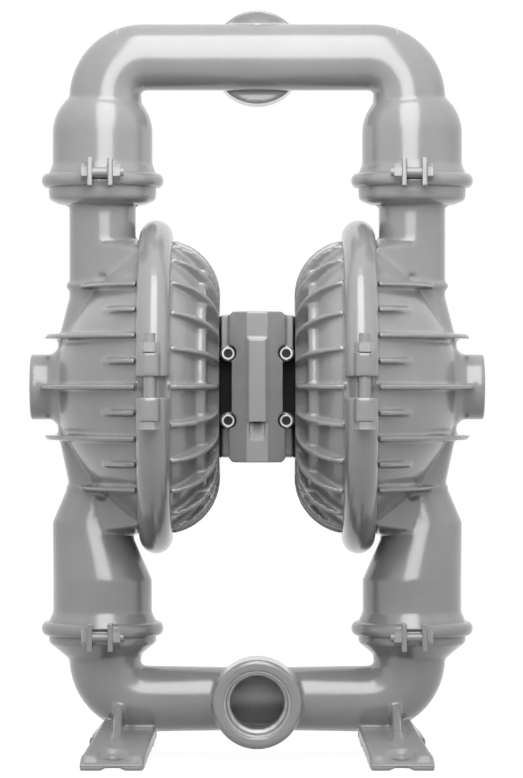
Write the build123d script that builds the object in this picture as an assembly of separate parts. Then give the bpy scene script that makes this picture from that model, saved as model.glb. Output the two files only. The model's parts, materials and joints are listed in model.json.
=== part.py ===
from build123d import *
from math import cos, radians, sin, sqrt
import os

# Air operated double diaphragm pump, two inch size, clamped construction.
# Millimetres. X runs from the left chamber to the right one along the shaft, Y points
# away from the viewer of the valve side, Z is up and zero is the floor under the feet.

# Overall layout
column_x = 138.0            # from the middle to each fluid column
inlet_pipe_z = 53.5         # lower manifold axis above the floor
lower_leg_rise = 62.9       # from that axis to the parting plane of the lower column joints
lower_column_l = 215.1      # from there to the shaft axis
upper_column_l = 183.9      # from the shaft axis to the parting plane of the upper joints
upper_leg_rise = 110.1      # from there to the upper manifold axis

# Manifold tubes
pipe_r = 29.5
leg_r = 32.2
leg_x = 135.5
bend_inner_r = 2.8          # radius on the inner side of a bend, at its leg
waist_r = 27.8              # lower tube beside its port
wall = 6.0
bell_r = 44.5
bell_straight_top = 44.5    # height of the straight bell above its joint
bell_top = 73.0             # height of the shoulder above its joint
bell_bulge = 14.0           # height of the fullest part of the shoulder
bell_bulge_in = 3.2
leg_bite = 1.0              # how much a flange or housing overlaps its leg

# Ports
inlet_port_r = 39.5
inlet_port_y = -60.0
inlet_port_drop = 1.0       # the port axis is this much under the tube's
inlet_boss_l = 62.0
outlet_port_r = 41.5
outlet_port_y = 62.0
outlet_port_rise = 1.0      # the port axis is this much over the tube's
outlet_boss_l = 52.0
port_round = 3.5            # rounding of a boss at its face
port_thread_r = 28.5
port_thread_depth = 25.0
port_chamfer = 1.5

# Feet
foot_bolt_x = 125.0
foot_bolt_y = 103.0
foot_hole_r = 7.5
foot_pad_inner_x = 98.0
foot_pad_outer_x = 153.5
foot_pad_end_y = 120.0
foot_pad_root_y = 84.0
foot_pad_t = 11.0
foot_neck_inner_x = 90.0
foot_neck_crest_x = 118.0   # where the top of the leg starts to rise outward
foot_neck_outer_x = 134.0
foot_neck_edge_x = 142.0
foot_neck_low_z = 16.0
foot_neck_z = 30.5
foot_neck_outer_z = 39.0
foot_neck_y = 14.0
foot_seat_r = 13.0
foot_relief_w = 20.0
foot_relief_h = 3.3
foot_rib_t = 8.0
foot_rib_x = 123.0
foot_rib_top_z = 55.0
foot_rib_end_y = 88.0

# Column joints
flange_r = 48.0
rim_r = 50.8
rim_half = 1.6              # half height of the flat rim, one flange each side
rim_root = 4.6              # where the sloped side of the rim meets the flange body
neck_drop = 12.0            # from the joint to the end of the flange body
neck_cone = 6.9             # height of the cone under it, on a column
leg_cone = 14.0             # the same on a leg of the lower manifold
bell_flare = 2.5            # slope from a flange to its ball housing
band_tip_r = 54.3
band_edge_r = 49.4
band_half = 6.2
band_tip_half = 1.0
band_gap = 6.75             # half the opening between the two halves
ear_t = 4.5
ear_h = 25.0
ear_shift = 5.0             # ears sit this much towards the manifold
ear_reach = 66.0
ear_bolt_y = 59.5
band_bolt_r = 4.0
band_head_r = 7.5
band_head_t = 5.0
band_nut_t = 6.5
band_bolt_tail = 3.0        # thread past the nut

# Valve seats and balls
seat_r = 35.0
seat_hole_r = 24.0
seat_half = 5.0
ring_groove_r = 38.6
o_ring_r = 1.5
ball_r = 30.0
ball_gap = 0.5              # drawn height of a resting ball above its seat edge
ball_lift = 14.0
cage_wall_r = 37.5
cage_rib_t = 5.0
cage_rib_r = 30.7
cage_stop_r = 16.0
cage_stop_t = 5.0

# Fluid chambers
column_r = 29.6
column_bore_r = 23.6
shoulder_r = 131.5          # blend between the dish rim and the columns, about the shaft
shoulder_root_r = 100.0
shoulder_end_x = 141.0
shoulder_half_y = 49.0
shoulder_tip_half_y = 31.0
dish_wall = 7.0
dish_mouth_r = 120.0
dish_edge_r = 128.2
dish_edge_x = 104.9
dish_mid = (151.4, 79.4)
dish_top = (174.5, 37.0)
boss_r = 29.0
boss_end_x = 202.0
boss_root_x = 179.0
spine_x = 177.8             # outermost line of the fluid passage behind the ribs
spine_half = 40.0
spine_r = 27.5
lower_bell_r = 44.0
lower_bell_h = 43.6         # from the joint to where the inner side starts to slope
lower_waist_drop = 120.5    # from the shaft to the waist between bell and dish
lower_waist_x = 149.5
lower_waist_r = 33.0
lower_merge_drop = 86.5     # from the shaft to where the bell has run into the dish
lower_merge_x = 141.0
lower_merge_r = 27.0
chamber_rib_t = 4.3
chamber_rib_pitch = 22.5
rib_edge_r = 137.0
rib_mid = (153.0, 97.0)
rib_tip = (191.0, 40.0)
short_rib_x = 135.0
short_rib_drop = 35.0       # how much lower a short rib is at its outer end
rib_steps = 4               # ribs above and below the level of the shaft
column_rib_r = 32.2

# Clamp of the large flanges
clamp_x = 90.0
clamp_half = 14.7
clamp_wall = 6.7            # ring over the lips
clamp_skirt = 5.3           # straight flank of the ring, before it rounds
clamp_skin = 3.2
clamp_split = 9.0           # half the gap between the two halves
lip_r = 141.5
lip_half = 7.4              # lip half width at its root, from the clamp plane
lip_tip_half = 5.2
lug_half_w = 8.3
lug_shift = 2.0             # the lugs sit this much outboard of the ring's middle
lug_h = 21.0
lug_edge = 7.0              # from the bolt to the end of its lug
lug_round = 5.0
clamp_bolt_r = 5.0
clamp_bolt_gap = 0.6        # between the bolt and the ring
clamp_bolt_tail = 8.0       # thread past the nut
clamp_head_r = 9.2
clamp_head_t = 6.4
clamp_nut_t = 8.0

# Diaphragms
diaphragm_t = 4.0
diaphragm_r = 139.0
diaphragm_flat_r = 119.0
diaphragm_dish = 11.0       # the middle sits this much nearer the block than the rim
diaphragm_roll = 5.0

# Air chambers
air_face_x = 33.3
air_hub_r = 74.0
air_floor_x = 50.5
air_floor_r = 64.0
air_skin_mid = (52.0, 105.0)
air_skin_foot = (43.5, 84.0)
air_edge_r = 126.5
air_rib_count = 24
air_rib_t = 4.2
air_rib_edge_r = 130.5
air_rib_mid = (47.0, 115.5)
air_rib_foot = (34.0, 90.0)
air_rib_inner_r = 70.0
air_inside_mid = (61.0, 99.0)
air_inside_edge = (83.0, 117.0)

# Centre block
block_gasket_t = 1.5
block_half_y = 42.0
block_half_z = 62.5
block_corner_r = 8.0
block_screw_y = 28.0
block_screw_z = 45.0
block_screw_r = 4.0
block_screw_head_r = 7.0
block_screw_head_t = 6.0
block_screw_bite = 13.0
air_inlet_r = 12.0
air_inlet_depth = 18.0
air_inlet_drop = 29.5
exhaust_rise = 29.5
nipple_r = 10.0
nipple_bore_r = 7.0
nipple_bite = 14.0
nipple_l = 42.0
muffler_r = 20.0
muffler_l = 68.0
muffler_slots = 8
muffler_slot_w = 4.0
muffler_slot_inset = 8.0    # from the pipe's end and from the inside of the cap to the slots
muffler_wall = 3.0
muffler_cap_t = 6.0
muffler_round = 4.0

# Shaft and pistons
shaft_r = 11.0
stud_r = 7.0
stud_bite = 9.0             # how far the stud goes into the outer piston
inner_piston_r = 57.0
inner_piston_t = 10.0
outer_piston_r = 55.0
outer_piston_t = 14.0
outer_piston_dome = 6.0
bushing_r = 15.0
bushing_l = 18.0
bushing_inner_x = 8.0
seal_l = 4.0

# Air valve
valve_gasket_t = 1.5
valve_drop = 66.0           # from the shaft axis to the bottom of the valve
valve_rise = 66.0
valve_half_w = 24.8
valve_waist_w = 22.4        # half width between the upper and lower screws
valve_face_w = 7.0          # half width of the flat front
valve_bevel_w = 4.0
valve_bevel_t = 3.5
valve_side_t = 9.0          # how far the side facets fall back
valve_root_w = 19.6         # half width at the gasket
valve_root_t = 8.0
valve_front_y = -88.0
valve_core_y = -63.0
valve_corner = 3.6
valve_step = 2.0
valve_step_drop = 30.5      # from the shaft to the lower step
valve_step_rise = 41.5
valve_slot_t = 6.0          # recess in the front under the lower step
valve_slot_h = 17.0
valve_ear_y = -56.0
valve_ear_r = 7.2
valve_screw_x = 25.5
valve_screw_z = 29.5
valve_screw_r = 4.0
valve_screw_head_r = 6.5
valve_screw_head_t = 8.0
valve_screw_bite = 18.0
valve_head_gap = 0.8
valve_socket_r = 3.9
valve_pad_half_w = 31.5     # broad pads at the top of the valve
valve_pad_rise = 63.5
valve_pad_side_rise = 34.0
valve_pad_low_rise = 19.0
valve_bore_r = 13.0
valve_floor_t = 10.0
valve_piston_travel = 14.0
valve_land = 16.0
valve_groove_r = 9.5
valve_cap_r = 16.0
valve_cap_t = 10.0
valve_cap_drop = 4.0
cap_ring_t = 1.6
cap_ring_r = 17.5
valve_port_r = 4.5

# Clearances
fit = 0.05                  # running and push fits, on the radius
seat_fit = 0.2
clamp_fit = 0.3
hole_fit = 0.4

# Heights and places that follow from them
bend_r = leg_r + bend_inner_r
lower_joint_z = inlet_pipe_z + lower_leg_rise
shaft_z = lower_joint_z + lower_column_l
upper_joint_z = shaft_z + upper_column_l
outlet_pipe_z = upper_joint_z + upper_leg_rise
inlet_port_z = inlet_pipe_z - inlet_port_drop
outlet_port_z = outlet_pipe_z + outlet_port_rise
lower_bell_top = lower_joint_z + lower_bell_h
lower_waist_z = shaft_z - lower_waist_drop
lower_merge_z = shaft_z - lower_merge_drop
valve_bottom_z = shaft_z - valve_drop
valve_top_z = shaft_z + valve_rise
valve_back_y = -block_half_y - valve_gasket_t
valve_screw_places = [(x * valve_screw_x, z * valve_screw_z) for x in (-1, 1) for z in (-1, 1)]
clamp_base_r = dish_edge_r + clamp_fit
clamp_r = lip_r + clamp_fit + clamp_wall
clamp_bolt_place_r = clamp_r + clamp_bolt_r + clamp_bolt_gap
lug_x = clamp_x + lug_shift
shaft_axis = Axis((0, 0, shaft_z), (1, 0, 0))
column_axis = Axis((column_x, 0, 0), (0, 0, 1))
diaphragm_x = clamp_x - diaphragm_dish
block_half_x = air_face_x - block_gasket_t


def spin(edges, axis):
    """Turn a closed outline drawn on the XZ plane about an axis."""
    return revolve(Plane.XZ * make_face(edges), axis)


def about_shaft(x, r):
    """A point of a shaft outline, by its place along the shaft and its radius."""
    return (x, shaft_z + r)


def about_column(r, z):
    """A point of a column outline, by its radius and its height."""
    return (column_x + r, z)


def disc_x(radius, x_from, x_to, y=0.0, z=shaft_z):
    """Round bar along X."""
    middle = (x_from + x_to) / 2
    return Pos(middle, y, z) * Rot(0, 90, 0) * Cylinder(radius, abs(x_to - x_from))


def disc_y(radius, y_from, y_to, x=0.0, z=shaft_z):
    """Round bar along Y."""
    middle = (y_from + y_to) / 2
    return Pos(x, middle, z) * Rot(90, 0, 0) * Cylinder(radius, abs(y_to - y_from))


def disc_z(radius, z_from, z_to, x=0.0, y=0.0):
    """Round bar along Z."""
    middle = (z_from + z_to) / 2
    return Pos(x, y, middle) * Cylinder(radius, abs(z_to - z_from))


def slab(x_from, x_to, y_from, y_to, z_from, z_to):
    """Block between two corners."""
    size = Box(abs(x_to - x_from), abs(y_to - y_from), abs(z_to - z_from))
    return Pos((x_from + x_to) / 2, (y_from + y_to) / 2, (z_from + z_to) / 2) * size


def to_left(shape):
    """The matching piece on the other side of the pump."""
    return mirror(shape, about=Plane.YZ)


def both_sides(shape):
    """A piece and its twin on the left."""
    return [shape, to_left(shape)]


def hexagon_x(across_corners_r, x_from, x_to, y, z):
    """Hexagon bar along X, for bolt heads and nuts."""
    face = Plane(origin=(x_from, y, z), z_dir=(1, 0, 0)) * RegularPolygon(across_corners_r, 6)
    return extrude(face, x_to - x_from)


def hexagon_z(across_corners_r, z_from, z_to, x, y):
    """Hexagon bar along Z, for bolt heads and nuts."""
    face = Plane(origin=(x, y, z_from)) * RegularPolygon(across_corners_r, 6)
    return extrude(face, z_to - z_from)


# Manifolds

def bent_leg(level, turn, start_r, end_r):
    """Quarter bend at the right end of a manifold tube, turning up or down."""
    start_x = leg_x - bend_r
    half = radians(45)
    middle = (start_x + bend_r * sin(half), 0, level + turn * bend_r * (1 - cos(half)))
    end = (leg_x, 0, level + turn * bend_r)
    path = ThreePointArc((start_x, 0, level), middle, end)
    first = Plane(origin=(start_x, 0, level), x_dir=(0, 1, 0), z_dir=(1, 0, 0)) * Circle(start_r)
    last = Plane(origin=end, x_dir=(0, 1, 0), z_dir=(0, 0, turn)) * Circle(end_r)
    return sweep([first.face(), last.face()], path=path, multisection=True)


def tube_solid(level, leg_end_z, run_r, end_r, middle_r):
    """Tube along X with a bend and a straight leg at each end, solid."""
    turn = 1 if leg_end_z > level else -1
    bend = bent_leg(level, turn, run_r, end_r)
    leg = disc_z(end_r, level + turn * bend_r, leg_end_z, x=leg_x)
    half_l = leg_x - bend_r
    edges = Polyline(
        (0, level), (half_l, level), (half_l, level + run_r), (0, level + middle_r), (0, level)
    )
    half_run = spin(edges, Axis((0, 0, level), (1, 0, 0)))
    return half_run + to_left(half_run) + both_sides(bend + leg)


def port(radius, face_y, length, z):
    """Round boss of a threaded pipe port along Y, rounded at its face."""
    inner_y = face_y + length if face_y < 0 else face_y - length
    boss = disc_y(radius, inner_y, face_y, z=z)
    rim = boss.edges().filter_by(GeomType.CIRCLE).sort_by(Axis.Y)
    return fillet(rim[0] if face_y < 0 else rim[-1], port_round)


def port_bore(face_y, z):
    """Threaded hole of a port, its lead chamfer and the passage to the tube."""
    inward = -1 if face_y > 0 else 1
    hole = disc_y(port_thread_r, face_y, face_y + inward * port_thread_depth, z=z)
    passage = disc_y(pipe_r - wall, face_y, 0, z=z)
    lead = Cone(port_thread_r + port_chamfer, port_thread_r, port_chamfer)
    lead = Pos(0, face_y + inward * port_chamfer / 2, z) * Rot(90 * -inward, 0, 0) * lead
    return hole + passage + lead


def rim_outline(joint_z, away):
    """Flange points from the joint plane outward along the column, rim first."""
    return [
        about_column(0, joint_z),
        about_column(rim_r, joint_z),
        about_column(rim_r, joint_z + away * rim_half),
        about_column(flange_r, joint_z + away * rim_root),
        about_column(flange_r, joint_z + away * neck_drop),
    ]


def seat_pocket(joint_z, away):
    """Recess for half of a valve seat."""
    return disc_z(seat_r + seat_fit, joint_z, joint_z + away * (seat_half + seat_fit), x=column_x)


def ball_centre(joint_z):
    """Height of a ball at rest on the seat of a joint."""
    return joint_z + seat_half + sqrt(ball_r ** 2 - seat_hole_r ** 2) + ball_gap


def cage_ribs(joint_z):
    """Four ribs that guide a ball and stop it at the top of its lift."""
    top = ball_centre(joint_z) + ball_lift
    low = joint_z + seat_half + seat_fit
    stop_z = top + sqrt(cage_rib_r ** 2 - cage_stop_r ** 2)
    half = radians(45)
    edges = Polyline(
        (cage_stop_r, stop_z),
        (cage_stop_r, stop_z + cage_stop_t),
        (cage_rib_r, stop_z + cage_stop_t),
        (cage_wall_r + 1.5, top + 4.0),
        (cage_wall_r + 1.5, low),
        (cage_rib_r, low),
        (cage_rib_r, top),
    )
    edges += ThreePointArc(
        (cage_rib_r, top),
        (cage_rib_r * cos(half / 1.5), top + cage_rib_r * sin(half / 1.5)),
        (cage_stop_r, stop_z),
    )
    rib = extrude(Plane.XZ * make_face(edges), cage_rib_t / 2, both=True)
    return [Pos(column_x, 0, 0) * Rot(0, 0, 45 + 90 * turn) * rib for turn in range(4)]


def discharge_bell():
    """Ball housing at the foot of the upper manifold, solid."""
    joint = upper_joint_z
    points = rim_outline(joint, 1)[:4]
    crown = about_column(leg_r - leg_bite, joint + bell_top)
    points += [
        about_column(flange_r, joint + band_half + clamp_fit),
        about_column(bell_r, joint + neck_drop + bell_flare),
        about_column(bell_r, joint + bell_straight_top),
    ]
    edges = Polyline(*points)
    edges += ThreePointArc(
        points[-1],
        about_column(bell_r - bell_bulge_in, joint + bell_straight_top + bell_bulge),
        crown,
    )
    edges += Polyline(crown, about_column(0, joint + bell_top), points[0])
    return spin(edges, column_axis)


def discharge_bell_cavity():
    """Inside of the upper ball housing, from the seat to the tube."""
    joint = upper_joint_z
    inner_r = leg_r - wall
    edges = Polyline(
        about_column(0, joint),
        about_column(cage_wall_r, joint),
        about_column(cage_wall_r, joint + bell_straight_top),
        about_column(inner_r, joint + bell_top - wall / 2),
        about_column(inner_r, joint + bell_top + wall / 2),
        about_column(0, joint + bell_top + wall / 2),
        about_column(0, joint),
    )
    return spin(edges, column_axis)


def discharge_manifold():
    """Upper casting: tube, two ball housings and the port at the back."""
    leg_end = upper_joint_z + bell_straight_top
    inner_r = pipe_r - wall
    body = tube_solid(outlet_pipe_z, leg_end, pipe_r, leg_r, pipe_r)
    body += both_sides(discharge_bell())
    body += port(outlet_port_r, outlet_port_y, outlet_boss_l, outlet_port_z)
    body -= tube_solid(outlet_pipe_z, leg_end, inner_r, leg_r - wall, inner_r)
    body -= both_sides(discharge_bell_cavity())
    body -= both_sides(seat_pocket(upper_joint_z, 1))
    body -= port_bore(outlet_port_y, outlet_port_z)
    for rib in cage_ribs(upper_joint_z):
        body += both_sides(rib)
    return body


def inlet_flange():
    """Flange and cone at the top of a leg of the lower manifold, solid."""
    joint = lower_joint_z
    points = rim_outline(joint, -1)
    points += [
        about_column(leg_r - leg_bite, joint - neck_drop - leg_cone),
        about_column(0, joint - neck_drop - leg_cone),
        points[0],
    ]
    return spin(Polyline(*points), column_axis)


def foot_wedge():
    """Leg of a foot, from the tube forward and down to its pad."""
    back = Plane(origin=(0, -foot_neck_y, 0), x_dir=(1, 0, 0), z_dir=(0, -1, 0))
    front = Plane(origin=(0, -foot_pad_end_y, 0), x_dir=(1, 0, 0), z_dir=(0, -1, 0))
    tall = back * make_face(
        Polyline(
            (foot_neck_inner_x, foot_neck_low_z),
            (foot_neck_inner_x, foot_neck_z),
            (foot_neck_crest_x, foot_neck_z),
            (foot_neck_outer_x, foot_neck_outer_z),
            (foot_neck_edge_x, foot_neck_low_z),
            (foot_neck_inner_x, foot_neck_low_z),
        )
    )
    low = front * make_face(
        Polyline(
            (foot_pad_inner_x, 0),
            (foot_pad_inner_x, foot_pad_t),
            (foot_bolt_x, foot_pad_t),
            (foot_pad_outer_x, foot_pad_t),
            (foot_pad_outer_x, 0),
            (foot_pad_inner_x, 0),
        )
    )
    return loft([tall.face(), low.face()], ruled=True)


def foot():
    """One foot at the front right: leg, pad, rib, bolt hole and the relief under the pad."""
    pad = slab(
        foot_pad_inner_x, foot_pad_outer_x, -foot_pad_root_y, -foot_pad_end_y, 0, foot_pad_t
    )
    rib_side = Polyline(
        (-foot_neck_y, foot_neck_low_z),
        (-foot_neck_y, foot_rib_top_z),
        (-pipe_r, foot_rib_top_z - foot_rib_t / 2),
        (-foot_rib_end_y, foot_pad_t),
        (-foot_neck_y, foot_neck_low_z),
    )
    rib = extrude(Plane.YZ * make_face(rib_side), foot_rib_t / 2, both=True)
    body = foot_wedge() + pad + Pos(foot_rib_x, 0, 0) * rib
    seat = disc_z(foot_seat_r, foot_pad_t, foot_neck_outer_z, x=foot_bolt_x, y=-foot_bolt_y)
    seat += slab(
        foot_bolt_x - foot_seat_r, foot_bolt_x + foot_seat_r,
        -foot_pad_end_y - fit, -foot_bolt_y, foot_pad_t, foot_neck_outer_z,
    )
    arch = foot_relief_w ** 2 / (8 * foot_relief_h) + foot_relief_h / 2
    relief = disc_y(
        arch, -foot_pad_end_y - fit, -foot_bolt_y,
        x=foot_bolt_x, z=foot_relief_h - arch,
    )
    hole = disc_z(foot_hole_r, -fit, foot_neck_z, x=foot_bolt_x, y=-foot_bolt_y)
    return body - seat - relief - hole


def inlet_manifold():
    """Lower casting: tube, two flanges, the port at the front and four feet."""
    leg_end = lower_joint_z - neck_drop
    body = tube_solid(inlet_pipe_z, leg_end, pipe_r, leg_r, waist_r)
    body += both_sides(inlet_flange())
    body += port(inlet_port_r, inlet_port_y, inlet_boss_l, inlet_port_z)
    one = foot()
    pair = [one, mirror(one, about=Plane.XZ)]
    for shape in pair:
        body += both_sides(shape)
    body -= tube_solid(inlet_pipe_z, leg_end, pipe_r - wall, leg_r - wall, waist_r - wall)
    throat = disc_z(seat_hole_r, lower_joint_z, leg_end - leg_cone, x=column_x)
    body -= both_sides(throat)
    body -= both_sides(seat_pocket(lower_joint_z, -1))
    body -= both_sides(o_ring_groove(lower_joint_z))
    body -= port_bore(inlet_port_y, inlet_port_z)
    return body


def o_ring_groove(joint_z):
    """Groove in the lower face of a column joint."""
    outer = ring_groove_r + o_ring_r + seat_fit
    inner = ring_groove_r - o_ring_r - seat_fit
    depth = 2 * o_ring_r + fit
    groove = disc_z(outer, joint_z - depth, joint_z, x=column_x)
    return groove - disc_z(inner, joint_z - depth, joint_z, x=column_x)


# Fluid chambers

def dish_solid():
    """Outside of the fluid dish, its clamped lip and the side boss."""
    edges = Polyline(
        about_shaft(boss_end_x, 0),
        about_shaft(clamp_x + diaphragm_t / 2, 0),
        about_shaft(clamp_x + diaphragm_t / 2, lip_r),
        about_shaft(clamp_x + lip_tip_half, lip_r),
        about_shaft(clamp_x + lip_half + clamp_skin, dish_edge_r),
        about_shaft(dish_edge_x, dish_edge_r),
    )
    edges += ThreePointArc(
        about_shaft(dish_edge_x, dish_edge_r), about_shaft(*dish_mid), about_shaft(*dish_top)
    )
    edges += Polyline(
        about_shaft(*dish_top),
        about_shaft(boss_root_x, boss_r + 4.0),
        about_shaft(boss_root_x + 4.0, boss_r),
        about_shaft(boss_end_x, boss_r),
        about_shaft(boss_end_x, 0),
    )
    return spin(edges, shaft_axis)


def dish_cavity():
    """Inside of the fluid dish."""
    edges = Polyline(
        about_shaft(clamp_x, 0),
        about_shaft(clamp_x, dish_mouth_r),
        about_shaft(dish_edge_x - 4.0, dish_mouth_r),
    )
    edges += ThreePointArc(
        about_shaft(dish_edge_x - 4.0, dish_mouth_r),
        about_shaft(dish_mid[0] - dish_wall * 0.8, dish_mid[1] - dish_wall * 0.7),
        about_shaft(dish_top[0] - dish_wall, dish_top[1] - 4.0),
    )
    edges += Polyline(
        about_shaft(dish_top[0] - dish_wall, dish_top[1] - 4.0),
        about_shaft(dish_top[0] - dish_wall, 0),
        about_shaft(clamp_x, 0),
    )
    return spin(edges, shaft_axis)


def round_section(x, z, radius):
    """Level circle, a station of a column shape."""
    return (Pos(x, 0, z) * Circle(radius)).face()


def upper_column():
    """Column that rises from the dish to the upper joint, solid."""
    return disc_z(column_r, shaft_z, upper_joint_z - neck_drop, x=column_x)


def shoulders():
    """Blends between the dish rim and the columns, above and below."""
    inner_x = dish_edge_x - fit
    crown = disc_x(shoulder_r, inner_x, shoulder_end_x) - disc_x(shoulder_root_r, inner_x, shoulder_end_x)
    plan = make_face(
        Polyline(
            (inner_x, -shoulder_half_y),
            (shoulder_end_x, -shoulder_tip_half_y),
            (shoulder_end_x, shoulder_tip_half_y),
            (inner_x, shoulder_half_y),
            (inner_x, -shoulder_half_y),
        )
    )
    height = clamp_r - shoulder_root_r
    return [
        crown & Pos(0, 0, low) * extrude(plan, height)
        for low in (shaft_z - clamp_r, shaft_z + shoulder_root_r)
    ]


def passage_spine():
    """Swelling of the dish over the fluid passage, between the column and the lower bell."""
    stations = [
        round_section(column_x, shaft_z + 2 * spine_half, column_r),
        round_section(spine_x - spine_r, shaft_z + spine_half, spine_r),
        round_section(spine_x - spine_r, shaft_z - spine_half, spine_r),
        round_section(lower_merge_x, lower_merge_z, lower_merge_r),
    ]
    return [loft([upper, lower], ruled=True) for upper, lower in zip(stations, stations[1:])]


def lower_bell(shrink):
    """Ball housing under the dish; shrink gives its inside."""
    start = round_section(column_x, lower_bell_top, lower_bell_r - shrink)
    waist = round_section(lower_waist_x, lower_waist_z, lower_waist_r - shrink)
    merge = round_section(lower_merge_x, lower_merge_z, lower_merge_r - shrink)
    return [loft([start, waist], ruled=True), loft([waist, merge], ruled=True)]


def upper_column_flange():
    """Flange at the top of the column, under the upper joint."""
    joint = upper_joint_z
    points = rim_outline(joint, -1)
    points += [
        about_column(column_r - leg_bite, joint - neck_drop - neck_cone),
        about_column(0, joint - neck_drop - neck_cone),
        points[0],
    ]
    return spin(Polyline(*points), column_axis)


def lower_column_flange():
    """Flange and straight part of the lower ball housing, above the lower joint."""
    joint = lower_joint_z
    points = rim_outline(joint, 1)[:4]
    points += [
        about_column(flange_r, joint + band_half + clamp_fit),
        about_column(lower_bell_r, joint + neck_drop + bell_flare),
        about_column(lower_bell_r, lower_bell_top),
        about_column(0, lower_bell_top),
        points[0],
    ]
    return spin(Polyline(*points), column_axis)


def rib_envelope():
    """Space over the dish that its ribs fill."""
    start = about_shaft(dish_edge_x + clamp_fit, rib_edge_r)
    edges = ThreePointArc(start, about_shaft(*rib_mid), about_shaft(*rib_tip))
    edges += Polyline(
        about_shaft(*rib_tip),
        about_shaft(rib_tip[0] + 1.0, boss_r - 1.0),
        about_shaft(rib_tip[0] + 1.0, 0),
        about_shaft(dish_edge_x + clamp_fit, 0),
        start,
    )
    return spin(edges, shaft_axis)


def short_rib_envelope():
    """Space that the short ribs fill, with a sloped outer end."""
    start_x = dish_edge_x + clamp_fit
    knee_x = start_x + (short_rib_x - start_x) / 3
    edges = Polyline(
        about_shaft(start_x, 0),
        about_shaft(start_x, rib_edge_r - 1.0),
        about_shaft(knee_x, rib_edge_r - short_rib_drop / 6),
        about_shaft(short_rib_x, rib_edge_r - short_rib_drop),
        about_shaft(short_rib_x, 0),
        about_shaft(start_x, 0),
    )
    return spin(edges, shaft_axis)


def level_slab(offset):
    """Level plate as thick as a rib, at a height from the shaft."""
    z = shaft_z + offset
    half = chamber_rib_t / 2
    return slab(dish_edge_x, boss_end_x, -clamp_r, clamp_r, z - half, z + half)


def chamber_ribs():
    """Level ribs of a fluid chamber, long and short by turns."""
    long_space = rib_envelope()
    short_space = short_rib_envelope()
    ribs = []
    for step in range(-rib_steps, rib_steps + 1):
        space = short_space if step % 2 else long_space
        ribs.append(space & level_slab(step * chamber_rib_pitch))
    for side in (-1, 1):
        z = shaft_z + side * rib_steps * chamber_rib_pitch
        ribs.append(disc_z(column_rib_r, z - chamber_rib_t / 2, z + chamber_rib_t / 2, x=column_x))
    return ribs


def liquid_chamber():
    """Right fluid chamber: dish, column, lower ball housing, boss and ribs."""
    body = dish_solid() + upper_column() + upper_column_flange() + lower_column_flange()
    body += shoulders()
    body += passage_spine()
    body += lower_bell(0)
    body += chamber_ribs()
    body -= dish_cavity()
    body -= disc_z(column_bore_r, shaft_z, upper_joint_z + 1.0, x=column_x)
    body -= seat_pocket(upper_joint_z, -1)
    body -= o_ring_groove(upper_joint_z)
    body -= disc_z(cage_wall_r, lower_joint_z - 1.0, lower_bell_top, x=column_x)
    body -= lower_bell(lower_bell_r - cage_wall_r)
    body += cage_ribs(lower_joint_z)
    return body


# Clamps

def band_outside():
    """Outer form of the V band of a column joint, solid, at the height of its parting plane."""
    edges = Polyline(
        about_column(0, -band_half),
        about_column(band_edge_r, -band_half),
        about_column(band_tip_r, -band_tip_half),
        about_column(band_tip_r, band_tip_half),
        about_column(band_edge_r, band_half),
        about_column(0, band_half),
        about_column(0, -band_half),
    )
    return spin(edges, column_axis)


def band_inside():
    """Space that a V band and its ears leave for the two flanges."""
    neck = flange_r + clamp_fit
    rim = rim_r + clamp_fit
    edges = Polyline(
        about_column(0, -2 * ear_h),
        about_column(neck, -2 * ear_h),
        about_column(neck, -rim_root - clamp_fit),
        about_column(rim, -rim_half - clamp_fit),
        about_column(rim, rim_half + clamp_fit),
        about_column(neck, rim_root + clamp_fit),
        about_column(neck, 2 * ear_h),
        about_column(0, 2 * ear_h),
        about_column(0, -2 * ear_h),
    )
    return spin(edges, column_axis)


def band_half_piece(joint_z, side, shift):
    """Half of a V band with an ear at each end; side 1 is away from the pump."""
    near = column_x + side * band_gap
    far = column_x + side * (band_tip_r + 1.0)
    half = band_outside() & slab(near, far, -clamp_r, clamp_r, -ear_h, ear_h)
    inner_y = flange_r - 2.0
    for front in (-1, 1):
        ear = slab(
            near, near + side * ear_t,
            front * inner_y, front * ear_reach,
            shift - ear_h / 2, shift + ear_h / 2,
        )
        hole_end = near + side * (ear_t + 1.0)
        half += ear
        half -= disc_x(band_bolt_r + hole_fit, near - side, hole_end, y=front * ear_bolt_y, z=shift)
    return Pos(0, 0, joint_z) * (half - band_inside())


def band_bolts(joint_z, shift):
    """Front and rear bolts of a V band, along X, with the nuts apart."""
    outer = band_gap + ear_t
    bolts = []
    nuts = []
    for front in (-1, 1):
        y = front * ear_bolt_y
        z = joint_z + shift
        end = column_x - outer - band_nut_t - band_bolt_tail
        shank = disc_x(band_bolt_r, end, column_x + outer, y=y, z=z)
        head = hexagon_x(band_head_r, column_x + outer, column_x + outer + band_head_t, y, z)
        bolts.append(shank + head)
        nut = hexagon_x(band_head_r, column_x - outer - band_nut_t, column_x - outer, y, z)
        nuts.append(nut - disc_x(band_bolt_r + fit, column_x - 2 * outer, column_x, y=y, z=z))
    return bolts, nuts


def clamp_ring():
    """Full clamp ring of the large flanges, at the right side."""
    arc_r = clamp_base_r + clamp_skirt
    grip = lip_half + clamp_skin + clamp_fit
    edges = Polyline(
        about_shaft(clamp_x - clamp_half, arc_r),
        about_shaft(clamp_x - clamp_half, clamp_base_r),
        about_shaft(clamp_x - grip, clamp_base_r),
        about_shaft(clamp_x - lip_tip_half - clamp_fit, lip_r + clamp_fit),
        about_shaft(clamp_x + lip_tip_half + clamp_fit, lip_r + clamp_fit),
        about_shaft(clamp_x + grip, clamp_base_r),
        about_shaft(clamp_x + clamp_half, clamp_base_r),
        about_shaft(clamp_x + clamp_half, arc_r),
    )
    edges += ThreePointArc(
        about_shaft(clamp_x + clamp_half, arc_r),
        about_shaft(clamp_x, clamp_r),
        about_shaft(clamp_x - clamp_half, arc_r),
    )
    return spin(edges, shaft_axis)


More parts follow.
